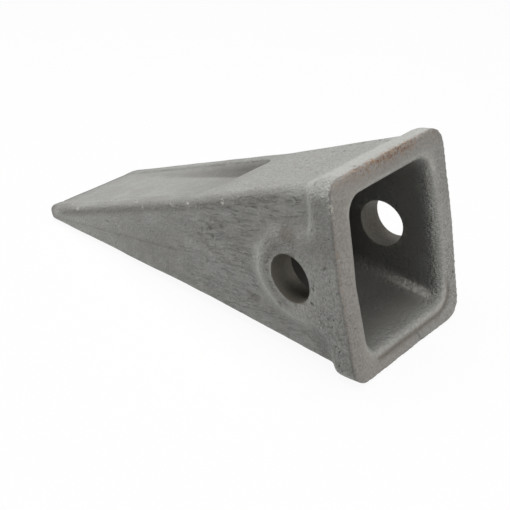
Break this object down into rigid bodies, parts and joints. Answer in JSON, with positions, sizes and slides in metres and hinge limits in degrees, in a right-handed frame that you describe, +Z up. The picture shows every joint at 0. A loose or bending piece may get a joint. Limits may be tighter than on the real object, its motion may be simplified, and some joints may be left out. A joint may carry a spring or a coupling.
{
  "type": "bucket tooth",
  "caption": "One-piece steel digging tooth: a wedge with scooped flanks, a tapered socket for the adapter nose and a cross bore for its pin.",
  "frame": {"origin": "middle of the pin bore, halfway between the tooth's two sides", "axes": "+Y along the pin bore, +X level towards the tip, +Z up. The tooth lies as it rests on a floor, on its collar and its nose, so its own length slopes down to the tip by 11.0 degrees."},
  "size_m": [0.2553, 0.088, 0.1012],
  "materials": {
    "forged_steel": "shot-blasted forging skin, matte grey, bare and unpainted, with light rust on the rear rim"
  },
  "bodies": {
    "root": {"bucket_tooth": "forged_steel"}
  },
  "joints": []
}
